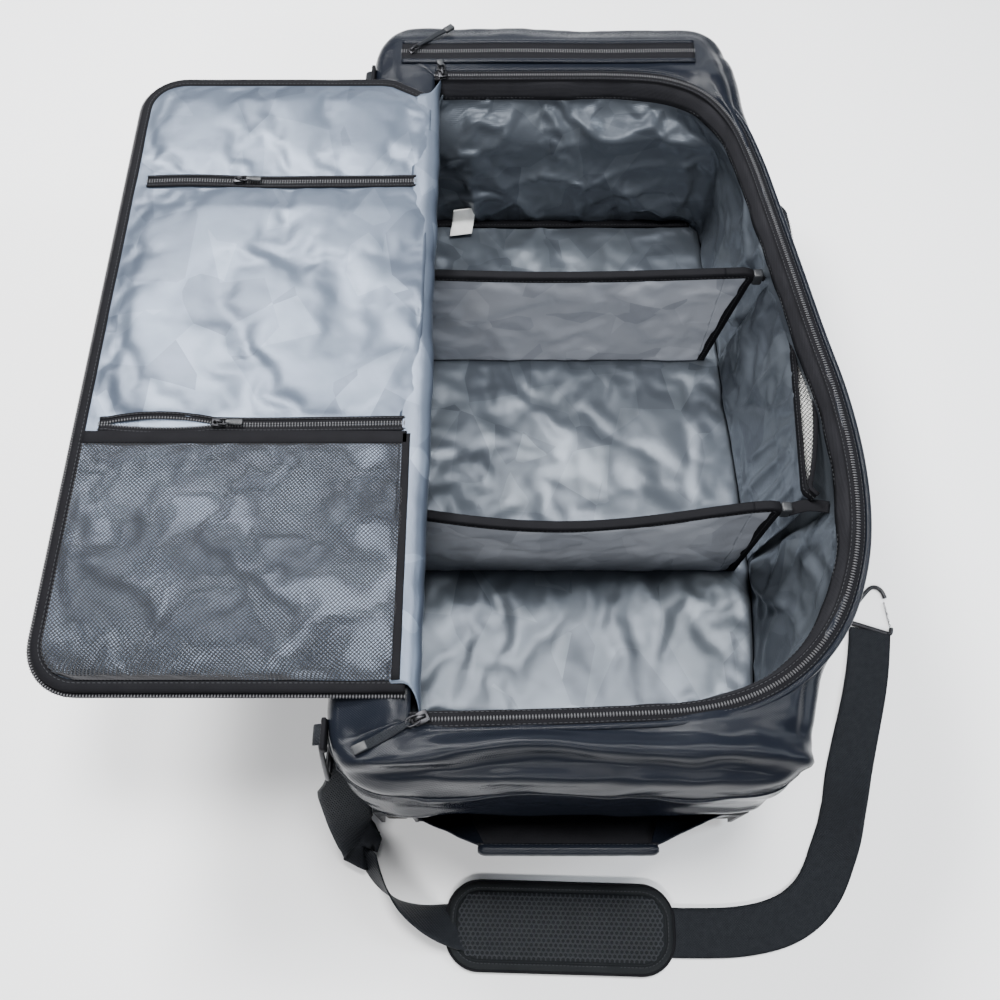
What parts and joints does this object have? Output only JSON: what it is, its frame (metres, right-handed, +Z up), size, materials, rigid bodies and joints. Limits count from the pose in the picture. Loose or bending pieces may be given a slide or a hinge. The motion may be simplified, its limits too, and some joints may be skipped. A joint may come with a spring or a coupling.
{
  "type": "rolling duffel bag",
  "caption": "Open rolling duffel bag with a zipped flap lid, padded dividers, end pocket, wheels, pull-out handle and a padded shoulder strap.",
  "frame": {"origin": "middle of the bag's footprint with the lid open, on the ground; the loose shoulder strap is not counted", "axes": "+X from the lid's free edge across the bag to its free side, +Y from the wheel end to the pull-handle end, +Z up"},
  "size_m": [0.9048, 1.0793, 0.325],
  "materials": {
    "outer_shell": "black coated tarpaulin, satin gloss",
    "main_lining": "grey satin lining with tone-on-tone patches",
    "lid_lining": "light grey satin lining with tone-on-tone patches",
    "mesh": "black diamond net",
    "binding": "black woven binding tape",
    "zip": "black coil zip on woven tape",
    "webbing": "black ribbed webbing",
    "pad": "black spacer mesh with bound edge",
    "zip_metal": "black painted metal",
    "hook_metal": "black painted metal with bright wire gate",
    "hard_plastic": "black moulded plastic",
    "tyre": "black urethane tread",
    "tube": "anodised aluminium",
    "axle": "plain steel"
  },
  "bodies": {
    "bag": {"base_board": "hard_plastic", "base_frame": "hard_plastic", "end_pocket_zip": "zip", "far_bulkhead": "main_lining", "far_end_wall": "outer_shell", "far_pocket_top": "outer_shell", "floor_panel": "main_lining", "free_carabiner": "hook_metal", "handle_anchors": "binding", "handle_bezel": "hard_plastic", "handle_outer_tubes": "tube", "left_carabiner": "hook_metal", "left_wall": "outer_shell", "left_wheel_housing": "hard_plastic", "main_lining": "main_lining", "mouth_surround": "outer_shell", "mouth_zip": "zip", "near_end_wall": "outer_shell", "outer_base_panel": "outer_shell", "right_wall": "outer_shell", "right_wheel_housing": "hard_plastic", "shoulder_pad": "pad", "shoulder_strap": "webbing", "side_mesh_pocket": "mesh", "skid_rails_and_feet": "hard_plastic", "strap_loops": "webbing", "wheel_axles": "axle"},
    "lid": {"lid_outer_panel": "outer_shell", "lid_lining": "lid_lining", "lid_binding": "binding", "lid_zip": "zip", "upper_pocket_zip": "zip", "mesh_pocket_zip": "zip", "mesh_pocket": "mesh"},
    "upper_slider": {"upper_pocket_slider": "zip_metal"},
    "upper_pull": {"upper_pocket_pull": "zip_metal"},
    "mesh_slider": {"mesh_pocket_slider": "zip_metal"},
    "mesh_pull": {"mesh_pocket_pull": "zip_metal"},
    "near_slider": {"near_main_slider": "zip_metal"},
    "near_pull": {"near_main_pull": "zip_metal"},
    "far_slider": {"far_main_slider": "zip_metal"},
    "far_pull": {"far_main_pull": "zip_metal"},
    "end_slider": {"end_pocket_slider": "zip_metal"},
    "end_pull": {"end_pocket_pull": "zip_metal"},
    "far_fold": {"far_divider": "main_lining"},
    "near_fold": {"near_divider": "main_lining"},
    "left_wheel": {"left_wheel_tyre": "tyre", "left_wheel_hub_and_bearings": "hard_plastic"},
    "right_wheel": {"right_wheel_tyre": "tyre", "right_wheel_hub_and_bearings": "hard_plastic"},
    "lower_stage": {"handle_lower_tubes": "tube"},
    "upper_stage": {"handle_upper_tubes": "tube", "handle_grip": "hard_plastic"},
    "button": {"handle_button": "hard_plastic"},
    "haul": {"haul_handle": "outer_shell", "haul_grip": "outer_shell"},
    "left_handle": {"left_side_handle": "webbing"},
    "right_handle": {"right_side_handle": "webbing"},
    "left_gate": {"left_carabiner_gate": "hook_metal"},
    "free_gate": {"free_carabiner_gate": "hook_metal"}
  },
  "joints": [
    {"name": "lid_hinge", "type": "hinge", "parent": "bag", "child": "lid", "pos_m": [-0.045, 0, 0.316], "axis": [0, 1, 0], "range_deg": [0, 178]},
    {"name": "upper_pocket_slide", "type": "slide", "parent": "lid", "child": "upper_slider", "axis": [1, 0, 0], "range_m": [-0.09, 0.18]},
    {"name": "upper_pocket_pull_hinge", "type": "hinge", "parent": "upper_slider", "child": "upper_pull", "pos_m": [-0.257, 0.212, 0.32368], "axis": [0, -1, 0], "range_deg": [0, 120]},
    {"name": "mesh_pocket_slide", "type": "slide", "parent": "lid", "child": "mesh_slider", "axis": [1, 0, 0], "range_m": [-0.105, 0.165]},
    {"name": "mesh_pocket_pull_hinge", "type": "hinge", "parent": "mesh_slider", "child": "mesh_pull", "pos_m": [-0.243, -0.098, 0.32368], "axis": [0, -1, 0], "range_deg": [0, 120]},
    {"name": "near_main_slide", "type": "slide", "parent": "bag", "child": "near_slider", "axis": [0.9993, 0.0367, 0], "range_m": [0, 0.22]},
    {"name": "near_main_pull_hinge", "type": "hinge", "parent": "near_slider", "child": "near_pull", "pos_m": [-0.036, -0.3857, 0.31785], "axis": [-0.4226, 0.9063, 0], "range_deg": [0, 120]},
    {"name": "far_main_slide", "type": "slide", "parent": "bag", "child": "far_slider", "axis": [1, 0, 0], "range_m": [0, 0.22]},
    {"name": "far_main_pull_hinge", "type": "hinge", "parent": "far_slider", "child": "far_pull", "pos_m": [-0.036, 0.384, 0.31785], "axis": [0.9848, 0.1736, 0], "range_deg": [0, 120]},
    {"name": "end_pocket_slide", "type": "slide", "parent": "bag", "child": "end_slider", "axis": [1, 0, 0], "range_m": [0, 0.32]},
    {"name": "end_pocket_pull_hinge", "type": "hinge", "parent": "end_slider", "child": "end_pull", "pos_m": [-0.072, 0.423, 0.31668], "axis": [0.6428, -0.766, 0], "range_deg": [0, 120]},
    {"name": "far_divider_fold", "type": "hinge", "parent": "bag", "child": "far_fold", "pos_m": [0.0965, 0.1235, 0.09], "axis": [1, 0, 0], "range_deg": [0, 88]},
    {"name": "near_divider_fold", "type": "hinge", "parent": "bag", "child": "near_fold", "pos_m": [0.0965, -0.1665, 0.09], "axis": [1, 0, 0], "range_deg": [0, 72]},
    {"name": "left_wheel_spin", "type": "hinge", "parent": "bag", "child": "left_wheel", "pos_m": [-0.079, -0.392, 0.045], "axis": [1, 0, 0], "continuous": true},
    {"name": "right_wheel_spin", "type": "hinge", "parent": "bag", "child": "right_wheel", "pos_m": [0.272, -0.392, 0.045], "axis": [1, 0, 0], "continuous": true},
    {"name": "handle_lower_slide", "type": "slide", "parent": "bag", "child": "lower_stage", "axis": [0, 1, 0], "range_m": [0, 0.38]},
    {"name": "handle_upper_slide", "type": "slide", "parent": "lower_stage", "child": "upper_stage", "axis": [0, 1, 0], "range_m": [0, 0.38]},
    {"name": "handle_button_press", "type": "slide", "parent": "upper_stage", "child": "button", "axis": [0, -1, 0], "range_m": [0, 0.003], "stiffness_N_per_m": 300},
    {"name": "haul_handle_fold", "type": "hinge", "parent": "bag", "child": "haul", "pos_m": [0.097, -0.44, 0.127], "axis": [-1, 0, 0], "range_deg": [0, 25]},
    {"name": "left_side_handle_swing", "type": "hinge", "parent": "bag", "child": "left_handle", "pos_m": [-0.131, 0.01, 0.216], "axis": [0, -1, 0], "range_deg": [-45, 60]},
    {"name": "right_side_handle_swing", "type": "hinge", "parent": "bag", "child": "right_handle", "pos_m": [0.34975, 0.208, 0.216], "axis": [-0.1026, 0.9947, 0], "range_deg": [-45, 60]},
    {"name": "left_carabiner_gate_hinge", "type": "hinge", "parent": "bag", "child": "left_gate", "pos_m": [-0.1257, -0.3722, 0.2396], "axis": [1, 0, 0], "range_deg": [0, 20], "stiffness_Nm_per_rad": 0.05},
    {"name": "free_carabiner_gate_hinge", "type": "hinge", "parent": "bag", "child": "free_gate", "pos_m": [0.51393, -0.2045, 0.0025], "axis": [0, 0, 1], "range_deg": [0, 20], "stiffness_Nm_per_rad": 0.05}
  ]
}
